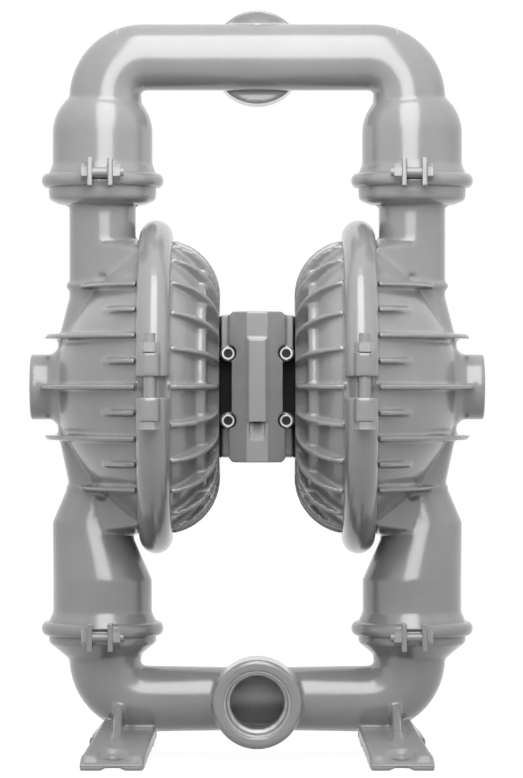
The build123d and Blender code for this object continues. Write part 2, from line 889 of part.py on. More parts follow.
def clamp_half_piece(up):
    """Upper or lower half of a large clamp with a lug at each end."""
    near = shaft_z + up * clamp_split
    top = shaft_z + up * clamp_r
    half = clamp_ring() & slab(clamp_x - clamp_half, clamp_x + clamp_half, -clamp_r, clamp_r, near, top)
    for front in (-1, 1):
        place_y = front * clamp_bolt_place_r
        lug = slab(
            lug_x - lug_half_w, lug_x + lug_half_w,
            front * (lip_r + 2 * clamp_fit), place_y + front * lug_edge,
            near, near + up * lug_h,
        )
        corners = lug.edges().filter_by(Axis.Z).sort_by(Axis.Y)
        lug = fillet(corners[:2] if front < 0 else corners[-2:], min(lug_round, lug_half_w - fit))
        half += lug
        half -= disc_z(clamp_bolt_r + hole_fit, near - up, near + up * (lug_h + 1.0), x=lug_x, y=place_y)
    return half


def clamp_fasteners():
    """Bolts and nuts of the right large clamp, front and back, heads down."""
    top = shaft_z + clamp_split + lug_h
    low = shaft_z - clamp_split - lug_h
    bolts = []
    nuts = []
    for front in (-1, 1):
        y = front * clamp_bolt_place_r
        shank = disc_z(clamp_bolt_r, low, top + clamp_nut_t + clamp_bolt_tail, x=lug_x, y=y)
        bolts.append(shank + hexagon_z(clamp_head_r, low - clamp_head_t, low, lug_x, y))
        nut = hexagon_z(clamp_head_r, top, top + clamp_nut_t, lug_x, y)
        nuts.append(nut - disc_z(clamp_bolt_r + fit, low, top + clamp_nut_t + 1.0, x=lug_x, y=y))
    return bolts, nuts


# Air side

def air_skin():
    """Outside of the air chamber between its ribs, solid."""
    lip = clamp_x - diaphragm_t / 2
    start = about_shaft(clamp_x - clamp_half - 0.2, air_edge_r)
    edges = Polyline(
        about_shaft(air_face_x, 0),
        about_shaft(lip, 0),
        about_shaft(lip, lip_r),
        about_shaft(clamp_x - lip_tip_half, lip_r),
        about_shaft(clamp_x - lip_half - clamp_skin, dish_edge_r),
        about_shaft(clamp_x - clamp_half - 0.2, dish_edge_r),
        start,
    )
    edges += ThreePointArc(start, about_shaft(*air_skin_mid), about_shaft(*air_skin_foot))
    edges += Polyline(
        about_shaft(*air_skin_foot), about_shaft(air_face_x, air_hub_r), about_shaft(air_face_x, 0)
    )
    return spin(edges, shaft_axis)


def air_cavity():
    """Inside of the air chamber."""
    edges = Polyline(
        about_shaft(clamp_x, 0),
        about_shaft(air_floor_x, 0),
        about_shaft(air_floor_x, air_floor_r),
    )
    edges += ThreePointArc(
        about_shaft(air_floor_x, air_floor_r),
        about_shaft(*air_inside_mid),
        about_shaft(*air_inside_edge),
    )
    edges += Polyline(
        about_shaft(*air_inside_edge),
        about_shaft(clamp_x, air_inside_edge[1]),
        about_shaft(clamp_x, 0),
    )
    return spin(edges, shaft_axis)


def air_ribs():
    """Radial ribs of the air chamber, evenly spaced, one level with the shaft at the front."""
    start = about_shaft(clamp_x - clamp_half - clamp_fit, air_rib_edge_r)
    edges = ThreePointArc(start, about_shaft(*air_rib_mid), about_shaft(*air_rib_foot))
    edges += Polyline(
        about_shaft(*air_rib_foot),
        about_shaft(air_face_x, air_rib_foot[1] - 4.0),
        about_shaft(air_face_x, air_rib_inner_r),
        about_shaft(air_skin_foot[0] + 3.0, air_skin_foot[1] - 8.0),
        about_shaft(air_skin_mid[0] + 3.0, air_skin_mid[1] - 3.0),
        about_shaft(clamp_x - clamp_half - clamp_fit, air_edge_r - 3.0),
        start,
    )
    rib = extrude(Plane.XZ * make_face(edges), air_rib_t / 2, both=True)
    turn = 360 / air_rib_count
    return [rib.rotate(shaft_axis, turn * step) for step in range(air_rib_count)]


def screw_places():
    """The four places of the air chamber screws about the shaft."""
    sides = (-1, 1)
    return [(y * block_screw_y, shaft_z + z * block_screw_z) for y in sides for z in sides]


def air_chamber():
    """Right air chamber: ribbed bowl bolted to the centre block."""
    body = air_skin() + air_ribs()
    body -= air_cavity()
    body -= disc_x(shaft_r + 1.5, 0, air_floor_x + 1.0)
    for y, z in screw_places():
        body -= disc_x(block_screw_r + hole_fit, 0, air_floor_x + 1.0, y=y, z=z)
        floor = air_floor_x - block_screw_head_t - 0.5
        body -= disc_x(block_screw_head_r + hole_fit, floor, air_floor_x + 1.0, y=y, z=z)
    return body


def chamber_screw(y, z):
    """Socket screw that holds the right air chamber to the block."""
    seat = air_floor_x - block_screw_head_t - 0.5
    screw = disc_x(block_screw_r, block_half_x - block_screw_bite, seat, y=y, z=z)
    screw += disc_x(block_screw_head_r, seat, seat + block_screw_head_t, y=y, z=z)
    socket = hexagon_x(3.5, seat + 2.5, seat + block_screw_head_t + 1.0, y, z)
    return screw - socket


def block_plate(x_from, x_to):
    """Rounded rectangle of the centre block, between two places along X."""
    plate = slab(
        x_from, x_to, -block_half_y, block_half_y,
        shaft_z - block_half_z, shaft_z + block_half_z,
    )
    return fillet(plate.edges().filter_by(Axis.X), block_corner_r)


def block_gasket():
    """Gasket between the block and the right air chamber."""
    gasket = block_plate(block_half_x, air_face_x)
    gasket -= disc_x(bushing_r + 1.0, 0, air_face_x + 1.0)
    for y, z in screw_places():
        gasket -= disc_x(block_screw_r + hole_fit, 0, air_face_x + 1.0, y=y, z=z)
    return gasket


def centre_block():
    """Centre block with the shaft bore, the air passages and its screw holes."""
    block = block_plate(-block_half_x, block_half_x)
    block -= disc_x(bushing_r + fit, -block_half_x - 1.0, block_half_x + 1.0)
    for y, z in screw_places():
        depth = block_half_x - block_screw_bite - 1.0
        block -= both_sides(disc_x(block_screw_r + fit, depth, block_half_x + 1.0, y=y, z=z))
    for x, z in valve_screw_places:
        end = valve_screw_bite + 1.0 - block_half_y
        block -= disc_y(valve_screw_r + fit, -block_half_y - 1.0, end, x=x, z=shaft_z + z)
    inlet_z = shaft_z - air_inlet_drop
    exhaust_z = shaft_z + exhaust_rise
    rear = block_half_y
    block -= disc_y(air_inlet_r, rear - air_inlet_depth, rear + 1.0, z=inlet_z)
    block -= disc_y(valve_port_r, -rear - 1.0, rear, z=inlet_z)
    block -= disc_y(nipple_r + fit, rear - nipple_bite, rear + 1.0, z=exhaust_z)
    block -= disc_y(valve_port_r, -rear - 1.0, rear, z=exhaust_z)
    return block


def shaft_bushing():
    """Right shaft bushing."""
    bush = disc_x(bushing_r, bushing_inner_x, bushing_inner_x + bushing_l)
    return bush - disc_x(shaft_r + fit, 0, block_half_x)


def shaft_seal():
    """Right shaft seal, outside its bushing."""
    start = bushing_inner_x + bushing_l + seat_fit
    seal = disc_x(bushing_r - fit, start, start + seal_l)
    return seal - disc_x(shaft_r + 2 * fit, 0, block_half_x)


def exhaust_nipple():
    """Pipe from the block to the muffler."""
    z = shaft_z + exhaust_rise
    start = block_half_y - nipple_bite
    pipe = disc_y(nipple_r, start, start + nipple_l, z=z)
    return pipe - disc_y(nipple_bore_r, start - 1.0, start + nipple_l + 1.0, z=z)


def muffler():
    """Slotted exhaust muffler on its pipe."""
    z = shaft_z + exhaust_rise
    end = block_half_y - nipple_bite + nipple_l
    start = end - nipple_bite
    body = disc_y(muffler_r, start, start + muffler_l, z=z)
    body = fillet(body.edges().filter_by(GeomType.CIRCLE), muffler_round)
    cap = start + muffler_l - muffler_cap_t
    body -= disc_y(nipple_r + fit, start - 1.0, end, z=z)
    body -= disc_y(muffler_r - muffler_wall, end, cap, z=z)
    half_w = muffler_slot_w / 2
    slot = slab(
        0, muffler_r + 1.0,
        end + muffler_slot_inset, cap - muffler_slot_inset,
        z - half_w, z + half_w,
    )
    centre = Axis((0, 0, z), (0, 1, 0))
    for step in range(muffler_slots):
        body -= slot.rotate(centre, 360 / muffler_slots * step)
    return body


# Air valve

def mirrored_outline(half):
    """Closed outline from the points of its right half, listed from the middle line round to it."""
    other = [(-x, y) for x, y in reversed(half)]
    return make_face(Polyline(*half, *other, half[0]))


def valve_barrel():
    """Faceted housing of the air valve, from the gasket forward, waisted between its screws."""
    side_y = valve_front_y + valve_bevel_t
    outline = mirrored_outline([
        (valve_face_w, valve_front_y),
        (valve_face_w + valve_bevel_w, side_y),
        (valve_half_w, side_y + valve_side_t),
        (valve_half_w, valve_back_y - valve_root_t),
        (valve_root_w, valve_back_y),
    ])
    barrel = Pos(0, 0, valve_bottom_z) * extrude(outline, valve_top_z - valve_bottom_z)
    for up in (-1, 1):
        end_z = shaft_z + (valve_rise if up > 0 else -valve_drop)
        corner = Pos(valve_half_w, 0, end_z) * Rot(0, 45, 0) * Box(
            sqrt(2) * valve_corner, 2 * abs(valve_front_y), sqrt(2) * valve_corner
        )
        barrel -= both_sides(corner)
    waist = slab(
        valve_waist_w, valve_half_w + 1.0, valve_front_y, valve_back_y,
        shaft_z - valve_screw_z, shaft_z + valve_screw_z,
    )
    return barrel - both_sides(waist)


def valve_front_cuts():
    """Steps at the top and bottom of the valve's front, and the slot between them."""
    front = valve_front_y - 1.0
    low_z = shaft_z - valve_step_drop
    high_z = shaft_z + valve_step_rise
    low = slab(-valve_half_w, valve_half_w, front, valve_front_y + valve_step, valve_bottom_z - 1.0, low_z)
    high = slab(-valve_half_w, valve_half_w, front, valve_front_y + valve_step, high_z, valve_top_z + 1.0)
    side = Polyline(
        (front, low_z),
        (valve_front_y + valve_slot_t, low_z),
        (valve_front_y + valve_step, low_z - valve_slot_h),
        (front, low_z - valve_slot_h),
        (front, low_z),
    )
    slot = extrude(Plane.YZ * make_face(side), valve_face_w, both=True)
    return [low, high, slot]


def valve_pads():
    """Lugs for the four screws, and the broad pads at the top of the valve."""
    pad = mirrored_outline([
        (valve_pad_half_w, shaft_z + valve_pad_rise),
        (valve_pad_half_w, shaft_z + valve_pad_side_rise),
        (valve_root_w, shaft_z + valve_pad_low_rise),
    ])
    pads = [Plane.XZ.offset(-valve_back_y) * extrude(pad, valve_back_y - valve_ear_y)]
    for x, z in valve_screw_places:
        pads.append(disc_y(valve_ear_r, valve_back_y, valve_ear_y, x=x, z=shaft_z + z))
        low = shaft_z + z - valve_ear_r
        pads.append(slab(0, x, valve_back_y, valve_ear_y, low, low + 2 * valve_ear_r))
    return pads


def air_valve_body():
    """Air valve housing with its spool bore, ports and screw holes."""
    body = valve_barrel() + valve_pads()
    body -= valve_front_cuts()
    for x, z in valve_screw_places:
        height = shaft_z + z
        body -= disc_y(valve_screw_head_r + valve_head_gap, valve_front_y - 1.0, valve_ear_y, x=x, z=height)
        body -= disc_y(valve_screw_r + hole_fit, valve_ear_y - 1.0, valve_back_y + 1.0, x=x, z=height)
    floor = valve_bottom_z + valve_floor_t
    body -= disc_z(valve_bore_r, floor, valve_top_z + 1.0, y=valve_core_y)
    ring_z = valve_top_z - valve_cap_drop
    body -= disc_z(valve_cap_r + fit, ring_z - valve_cap_t, valve_top_z + 1.0, y=valve_core_y)
    body -= disc_z(cap_ring_r + fit, ring_z, ring_z + cap_ring_t + fit, y=valve_core_y)
    for z in (-air_inlet_drop, exhaust_rise):
        body -= disc_y(valve_port_r, valve_core_y, valve_back_y + 1.0, z=shaft_z + z)
    return body


def air_valve_gasket():
    """Gasket between the air valve and the block."""
    half_h = valve_screw_z + valve_ear_r
    half_w = valve_screw_x + valve_ear_r - clamp_fit
    gasket = slab(-half_w, half_w, -block_half_y, valve_back_y, shaft_z - half_h, shaft_z + half_h)
    for z in (-air_inlet_drop, exhaust_rise):
        gasket -= disc_y(valve_port_r, valve_back_y - 1.0, 0, z=shaft_z + z)
    for x, z in valve_screw_places:
        gasket -= disc_y(valve_screw_r + hole_fit, valve_back_y - 1.0, 0, x=x, z=shaft_z + z)
    return gasket


def air_valve_screws():
    """Four socket head screws of the air valve."""
    screws = []
    face = valve_ear_y - valve_screw_head_t
    for x, z in valve_screw_places:
        height = shaft_z + z
        screw = disc_y(valve_screw_r, valve_ear_y, valve_screw_bite - block_half_y, x=x, z=height)
        head = disc_y(valve_screw_head_r, face, valve_ear_y, x=x, z=height)
        head = chamfer(head.edges().filter_by(GeomType.CIRCLE).sort_by(Axis.Y)[0], 1.0)
        plane = Plane(origin=(x, face - 1.0, height), x_dir=(1, 0, 0), z_dir=(0, 1, 0))
        socket = extrude(plane * RegularPolygon(valve_socket_r, 6), 1.0 + valve_screw_head_t / 2)
        screws.append(screw + head - socket)
    return screws


def air_valve_cap():
    """End cap in the top of the spool bore."""
    low = valve_top_z - valve_cap_drop - valve_cap_t
    cap = disc_z(valve_cap_r, low, low + valve_cap_t - seat_fit, y=valve_core_y)
    return cap - disc_z(4.0, low + 5.0, low + valve_cap_t, y=valve_core_y)


def air_valve_cap_ring():
    """Spring ring that keeps the end cap in."""
    low = valve_top_z - valve_cap_drop
    ring = disc_z(cap_ring_r, low, low + cap_ring_t, y=valve_core_y)
    ring -= disc_z(cap_ring_r - 3.5, low - 1.0, low + cap_ring_t + 1.0, y=valve_core_y)
    return ring - slab(-3.0, 3.0, valve_core_y, valve_core_y - cap_ring_r - 1.0, low - 1.0, low + 3.0)


def air_valve_piston():
    """Spool of the air valve at the bottom of its travel."""
    low = valve_bottom_z + valve_floor_t + clamp_fit
    top = valve_top_z - valve_cap_drop - valve_cap_t - clamp_fit - valve_piston_travel
    spool = disc_z(valve_bore_r - fit, low, top, y=valve_core_y)
    middle = (low + top) / 2
    for side in (-1, 1):
        near = middle + side * valve_land / 2
        far = middle + side * ((top - low) / 2 - valve_land)
        groove = disc_z(valve_bore_r + 1.0, near, far, y=valve_core_y)
        spool -= groove - disc_z(valve_groove_r, near, far, y=valve_core_y)
    return spool


# Valve seats, balls and the moving shaft

def valve_seat(joint_z):
    """Right valve seat of a column joint, with a sloped ball edge."""
    low = joint_z - seat_half
    top = joint_z + seat_half
    edges = Polyline(
        about_column(seat_hole_r, low),
        about_column(seat_r, low),
        about_column(seat_r, top),
        about_column(seat_hole_r + 2.2, top),
        about_column(seat_hole_r, top - 2.2),
        about_column(seat_hole_r, low),
    )
    return spin(edges, column_axis)


def seat_o_ring(joint_z):
    """O-ring of a column joint."""
    height = joint_z - o_ring_r - fit / 2
    return Pos(column_x, 0, height) * Torus(ring_groove_r, o_ring_r)


def ball(joint_z):
    """Right check ball at rest over the seat of a joint."""
    return Pos(column_x, 0, ball_centre(joint_z)) * Sphere(ball_r)


def diaphragm():
    """Right diaphragm: clamped rim, rolled middle and flat centre."""
    half = diaphragm_t / 2
    rim_x = clamp_x
    rim_inner = diaphragm_flat_r
    flat_r = inner_piston_r + 3.0
    roll_x = (rim_x + diaphragm_x) / 2
    roll_r = (rim_inner + flat_r) / 2
    outer = [about_shaft(rim_x + half, rim_inner), about_shaft(diaphragm_x + half, flat_r)]
    inner = [about_shaft(diaphragm_x - half, flat_r), about_shaft(rim_x - half, rim_inner)]
    edges = Polyline(
        about_shaft(rim_x - half, rim_inner),
        about_shaft(rim_x - half, diaphragm_r),
        about_shaft(rim_x + half, diaphragm_r),
        outer[0],
    )
    edges += ThreePointArc(outer[0], about_shaft(roll_x + diaphragm_roll + half, roll_r), outer[1])
    edges += Polyline(
        outer[1],
        about_shaft(diaphragm_x + half, stud_r + fit),
        about_shaft(diaphragm_x - half, stud_r + fit),
        inner[0],
    )
    edges += ThreePointArc(inner[0], about_shaft(roll_x + diaphragm_roll - half, roll_r), inner[1])
    return spin(edges, shaft_axis)


def inner_piston():
    """Right inner piston, on the air side of its diaphragm."""
    face = diaphragm_x - diaphragm_t / 2
    edges = Polyline(
        about_shaft(face, stud_r + fit),
        about_shaft(face, inner_piston_r),
        about_shaft(face - 3.0, inner_piston_r),
        about_shaft(face - inner_piston_t, inner_piston_r * 0.42),
        about_shaft(face - inner_piston_t, stud_r + fit),
        about_shaft(face, stud_r + fit),
    )
    return spin(edges, shaft_axis)


def outer_piston():
    """Right outer piston, screwed on the stud on the fluid side."""
    face = diaphragm_x + diaphragm_t / 2
    rim = face + outer_piston_t - outer_piston_dome
    end = face + outer_piston_t
    rim_point = about_shaft(rim - 3.0, outer_piston_r)
    crown = about_shaft(end, outer_piston_r * 0.3)
    edges = Polyline(
        about_shaft(face, 0),
        about_shaft(face, outer_piston_r),
        rim_point,
    )
    bulge = about_shaft(rim + outer_piston_dome * 0.55, outer_piston_r * 0.7)
    edges += ThreePointArc(rim_point, bulge, crown)
    edges += Polyline(crown, about_shaft(end, 0), about_shaft(face, 0))
    piston = spin(edges, shaft_axis)
    return piston - disc_x(stud_r + fit, face - 1.0, stud_end() + 1.0)


def stud_end():
    """Place of the tip of the right stud, inside the outer piston."""
    return diaphragm_x + diaphragm_t / 2 + stud_bite


def shaft():
    """Shaft with a stud at each end."""
    shoulder = diaphragm_x - diaphragm_t / 2 - inner_piston_t
    return disc_x(shaft_r, -shoulder, shoulder) + disc_x(stud_r, -stud_end(), stud_end())


# Assembly

def group(solids):
    """Several like solids as one named set."""
    return Compound(children=[solid for shape in solids for solid in shape.solids()])


def pump():
    """Every piece by its name."""
    parts = {
        "inlet_manifold": inlet_manifold(),
        "discharge_manifold": discharge_manifold(),
        "centre_block": centre_block(),
        "shaft_bushings": group(both_sides(shaft_bushing())),
        "shaft_seals": group(both_sides(shaft_seal())),
        "exhaust_nipple": exhaust_nipple(),
        "muffler": muffler(),
        "air_valve_body": air_valve_body(),
        "air_valve_gasket": air_valve_gasket(),
        "air_valve_screws": group(air_valve_screws()),
        "air_valve_cap": air_valve_cap(),
        "air_valve_cap_ring": air_valve_cap_ring(),
        "air_valve_piston": air_valve_piston(),
        "shaft": shaft(),
    }
    handed = {
        "liquid_chamber": liquid_chamber(),
        "air_chamber": air_chamber(),
        "block_gasket": block_gasket(),
        "diaphragm": diaphragm(),
        "inner_piston": inner_piston(),
        "outer_piston": outer_piston(),
        "clamp_upper_half": clamp_half_piece(1),
        "clamp_lower_half": clamp_half_piece(-1),
    }
    joints = {"inlet": (lower_joint_z, -ear_shift), "outlet": (upper_joint_z, ear_shift)}
    bolts = []
    nuts = []
    rings = []
    for name, (joint_z, shift) in joints.items():
        handed[name + "_seat"] = valve_seat(joint_z)
        handed[name + "_ball"] = ball(joint_z)
        handed[name + "_band_outer_half"] = band_half_piece(joint_z, 1, shift)
        handed[name + "_band_inner_half"] = band_half_piece(joint_z, -1, shift)
        joint_bolts, joint_nuts = band_bolts(joint_z, shift)
        bolts += joint_bolts
        nuts += joint_nuts
        rings.append(seat_o_ring(joint_z))
    for name, shape in handed.items():
        parts["right_" + name] = shape
        parts["left_" + name] = to_left(shape)
    screws = [chamber_screw(y, z) for y, z in screw_places()]
    clamp_bolts, clamp_nuts = clamp_fasteners()
    sets = {
        "band_bolts": bolts,
        "band_nuts": nuts,
        "seat_o_rings": rings,
        "air_chamber_screws": screws,
        "clamp_bolts": clamp_bolts,
        "clamp_nuts": clamp_nuts,
    }
    for name, shapes in sets.items():
        parts[name] = group(shapes + [to_left(shape) for shape in shapes])
    return parts


os.makedirs("parts", exist_ok=True)
for node, shape in pump().items():
    export_step(shape, "parts/" + node + ".step")
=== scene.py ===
import json
import math
import bpy
import bmesh
from mathutils import Matrix, Vector

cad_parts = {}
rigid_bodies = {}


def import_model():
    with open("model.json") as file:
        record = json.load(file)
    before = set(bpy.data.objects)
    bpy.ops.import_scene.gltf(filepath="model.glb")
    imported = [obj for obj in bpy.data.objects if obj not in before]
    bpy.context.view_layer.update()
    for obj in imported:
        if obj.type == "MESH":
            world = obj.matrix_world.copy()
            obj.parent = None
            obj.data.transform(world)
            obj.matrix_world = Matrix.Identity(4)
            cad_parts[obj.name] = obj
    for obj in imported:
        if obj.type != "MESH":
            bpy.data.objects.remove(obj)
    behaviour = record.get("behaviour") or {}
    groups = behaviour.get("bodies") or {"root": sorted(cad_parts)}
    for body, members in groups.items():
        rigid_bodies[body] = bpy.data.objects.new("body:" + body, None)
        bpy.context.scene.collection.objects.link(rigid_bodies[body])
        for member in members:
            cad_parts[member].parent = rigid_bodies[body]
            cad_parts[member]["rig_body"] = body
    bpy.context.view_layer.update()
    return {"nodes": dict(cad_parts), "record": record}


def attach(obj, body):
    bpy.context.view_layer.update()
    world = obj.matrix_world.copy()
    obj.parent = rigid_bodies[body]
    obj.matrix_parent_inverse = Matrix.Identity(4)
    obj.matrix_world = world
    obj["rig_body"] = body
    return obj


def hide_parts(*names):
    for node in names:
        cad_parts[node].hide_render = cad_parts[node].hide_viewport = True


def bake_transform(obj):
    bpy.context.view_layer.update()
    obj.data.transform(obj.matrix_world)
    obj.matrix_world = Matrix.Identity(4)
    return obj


# Looks of the air operated diaphragm pump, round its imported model. Metres, in the model's frame:
# X along the shaft, -Y toward the viewer of the valve side, Z up from the floor.

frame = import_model()

MM = 0.001
SIDES = (-1, 1)

# Camera, at the photograph's viewing angle
VIEW_PLACE = (0.00375, -3.7, 0.3297)
LENS = 191.9
SENSOR = 36.0

# Places in the model
SHAFT_Z = 0.3315
COLUMN_X = 0.138
LOWER_JOINT_Z = 0.1164
UPPER_JOINT_Z = 0.5154

# V bands
BAND_TIP_R = 0.0543
BAND_EDGE_R = 0.0494
BAND_HALF = 0.0062
BAND_TIP_HALF = 0.001
BAND_NEAR = 0.9 * MM        # how near to the ridge a point of the band's outside lies

# Air valve: its screws, and the slot under the lower step of its front
SCREW_X = 0.0255
SCREW_Z = 0.0295
SOCKET_R = 0.0039
VALVE_FRONT_Y = -0.088
VALVE_STEP = 0.002
SLOT_LOW_Z = 0.284
SLOT_H = 0.017
SLOT_HALF_W = 0.0085
SLOT_TOP = 0.97             # share of the slot's height that lies under its upper wall
SLOT_REACH = 5 * MM         # depth within which points belong to the slot
SLOT_SHARE = 0.4            # share of the solid's slot depth that stays

# Feet
FOOT_TOP_Z = 0.052
FOOT_NEAR_X = 0.060
FOOT_NEAR_Y = 0.034
FOOT_SOLE_Z = 0.003
FOOT_FADE = 0.004
PAD_NEAR_X = 0.090
PAD_NEAR_Y = 0.080
PAD_END_Y = 0.120
PAD_T = 0.011
PAD_REACH = 1.5 * MM        # height over the pad up to which points belong to it
PAD_RELIEF_Z = 0.0045       # under this height the pad keeps its form
PAD_SLOPE_Y = 0.098
PAD_EDGE_T = 0.0065
PAD_EDGE_R = 0.0045

# Shoulders of the liquid chambers
SHOULDER_R = 0.096
SHOULDER_NEAR_X = 0.109
SHOULDER_FAR_X = 0.152
SHOULDER_RISE = 0.07

# Inner end of the outlet boss, over the upper tube
OUTLET_TUBE_TOP = 0.6550
BOSS_HALF_W = 0.045
BOSS_END_Y = (0.003, 0.016)
BOSS_FADE = 0.004
BOSS_LEAN = 0.4

# Passages of the manifolds: height of the tube's middle, height of the port's, and Y of its face
PASSAGES = {
    "inlet_manifold": (0.0535, 0.0525, -0.060),
    "discharge_manifold": (0.6255, 0.6265, 0.062),
}
TUBE_BORE_R = 0.0262
TUBE_BORE_HALF = 0.125
PORT_BORE_R = 0.0294
PORT_MOUTH = 0.98           # share of the port's reach that is bare
PORT_THREAD_R = 0.0285
THREAD_INSET = 1.2 * MM
THREAD_L = 21 * MM
THREAD_PITCH = 2.2 * MM
THREAD_DEPTH = 1.2 * MM
THREAD_BACK = 0.6 * MM      # from the thread's root to the back of the sleeve
THREAD_TAPER = 1 / 32
THREAD_STEPS = 72
THREAD_ROWS = 6             # rows of points a turn
THREAD_FADE_ROWS = 5        # rows over which the thread runs out at either end

# Castings: voxel size in mm and passes of smoothing
CASTINGS = {
    "inlet_manifold": (1.5, 7),
    "discharge_manifold": (1.5, 7),
    "left_liquid_chamber": (1.5, 6),
    "right_liquid_chamber": (1.5, 6),
    "left_air_chamber": (1.4, 5),
    "right_air_chamber": (1.4, 5),
    "centre_block": (1.4, 4),
    "air_valve_body": (1.0, 5),
}
CLAMP_HALF = (1.3, 6)
BAND_HALF_RING = (0.7, 4)
DIAPHRAGM_VOXEL = 1.6
FOOT_PASSES = 8
SHOULDER_PASSES = 14
LATHE_STEPS = 96
WELD = 1e-6

# Outlines of added forms in mm: radius and height, about a column joint or the shaft
UPPER_FLANGE = [
    (36.5, -9.0), (47.7, -9.0), (47.7, -15.3), (46.4, -17.3), (43.6, -18.9), (39.5, -20.6),
    (36.5, -21.5), (31.8, -22.2), (31.8, -9.0),
]
LOWER_FLANGE = [
    (36.5, -8.0), (47.5, -8.0), (47.5, -12.4), (45.8, -14.2), (41.5, -16.6), (37.0, -19.3),
    (33.5, -22.5), (30.5, -24.0), (30.5, -8.0),
]
AIR_NECK = [
    (84.0, 44.3), (103.0, 44.3), (105.6, 46.5), (106.6, 55.0), (104.5, 57.2), (95.0, 56.5),
    (84.0, 51.0),
]

# Nodes whose material isn't their slot's own
FINISHES = {
    "air_valve_screws": "screws_with_painted_socket_shade",
    "band_bolts": "painted_steel",
    "band_nuts": "painted_steel",
}


# Shader nodes

def feed(tree, value, socket):
    """Link another node's output to a socket, or set a plain value on it."""
    if isinstance(value, bpy.types.NodeSocket):
        tree.links.new(value, socket)
    else:
        socket.default_value = value


def calculated(tree, operation, *values):
    node = tree.nodes.new("ShaderNodeMath")
    node.operation = operation
    for value, socket in zip(values, node.inputs):
        feed(tree, value, socket)
    return node.outputs[0]


def ranged(tree, source, start, end, low=0.0, high=1.0, smooth=False):
    """A value that runs from low to high as the source goes from start to end."""
    node = tree.nodes.new("ShaderNodeMapRange")
    if smooth:
        node.interpolation_type = "SMOOTHSTEP"
    settings = {"Value": source, "From Min": start, "From Max": end, "To Min": low, "To Max": high}
    for name, value in settings.items():
        feed(tree, value, node.inputs[name])
    return node.outputs["Result"]


def noise(tree, place, scale, detail, roughness=0.5):
    node = tree.nodes.new("ShaderNodeTexNoise")
    node.inputs["Scale"].default_value = scale
    node.inputs["Detail"].default_value = detail
    node.inputs["Roughness"].default_value = roughness
    tree.links.new(place, node.inputs["Vector"])
    return node.outputs["Fac"]


def tinted(tree, source, stops):
    """A colour ramp through two stops of position and colour."""
    node = tree.nodes.new("ShaderNodeValToRGB")
    for element, (position, color) in zip(node.color_ramp.elements, stops):
        element.position = position
        element.color = (*color, 1)
    tree.links.new(source, node.inputs["Fac"])
    return node.outputs["Color"]


def mixed(tree, share, one, two):
    """Colour one where the share is 0, and two where it is 1."""
    node = tree.nodes.new("ShaderNodeMix")
    node.data_type = "RGBA"
    for name, value in {"Factor": share, "A": one, "B": two}.items():
        feed(tree, value, node.inputs[name])
    return node.outputs["Result"]


def bumped(tree, height, strength, distance, normal=None):
    node = tree.nodes.new("ShaderNodeBump")
    node.inputs["Strength"].default_value = strength
    node.inputs["Distance"].default_value = distance
    tree.links.new(height, node.inputs["Height"])
    if normal is not None:
        tree.links.new(normal, node.inputs["Normal"])
    return node.outputs["Normal"]


def axes_of(tree, vector):
    node = tree.nodes.new("ShaderNodeSeparateXYZ")
    tree.links.new(vector, node.inputs[0])
    return node.outputs


def seen_rays(tree):
    """1 for rays from the camera, reflections and glass, which see the white surroundings."""
    path = tree.nodes.new("ShaderNodeLightPath")
    seen = path.outputs["Is Camera Ray"]
    for name in ("Is Glossy Ray", "Is Transmission Ray"):
        seen = calculated(tree, "MAXIMUM", seen, path.outputs[name])
    return seen


def new_material(name):
    """A material with its node tree and shader."""
    material = bpy.data.materials.new(name)
    material.use_nodes = True
    return material, material.node_tree, material.node_tree.nodes["Principled BSDF"]


# Camera, floor and light

def add_camera():
    data = bpy.data.cameras.new("view_camera")
    data.sensor_fit = "VERTICAL"
    data.sensor_height = SENSOR
    data.lens = LENS
    data.clip_end = 50.0
    camera = bpy.data.objects.new("view_camera", data)
    camera.location = VIEW_PLACE
    camera.rotation_euler = (math.radians(90), 0, 0)
    bpy.context.scene.collection.objects.link(camera)
    bpy.context.scene.camera = camera


def area_light(name, place, aim, width, height, power):
    data = bpy.data.lights.new(name, "AREA")
    data.shape = "RECTANGLE"
    data.size = width
    data.size_y = height
    data.energy = power
    light = bpy.data.objects.new(name, data)
    light.location = place
    direction = Vector(aim) - Vector(place)
    light.rotation_euler = direction.to_track_quat("-Z", "Y").to_euler()
    light.visible_camera = False
    bpy.context.scene.collection.objects.link(light)
    return light


def add_lights():
    """One soft box in front and above, whose shape shows in the gloss, and three plain fills."""
    area_light("key_box", (0.02, -0.675, 1.11), (0.02, 0.145, 0.538), 0.64, 1.49, 13.0)
    middle = (0.0, 0.0, 0.35)
    fills = [
        area_light(f"side_{side + 1}", (side * 1.5, -0.4, 0.95), middle, 0.9, 0.9, 8.5)
        for side in SIDES
    ]
    fills.append(area_light("behind", (0.0, 1.8, 1.0), middle, 1.6, 1.2, 9.0))
    for fill in fills:
        fill.visible_glossy = False


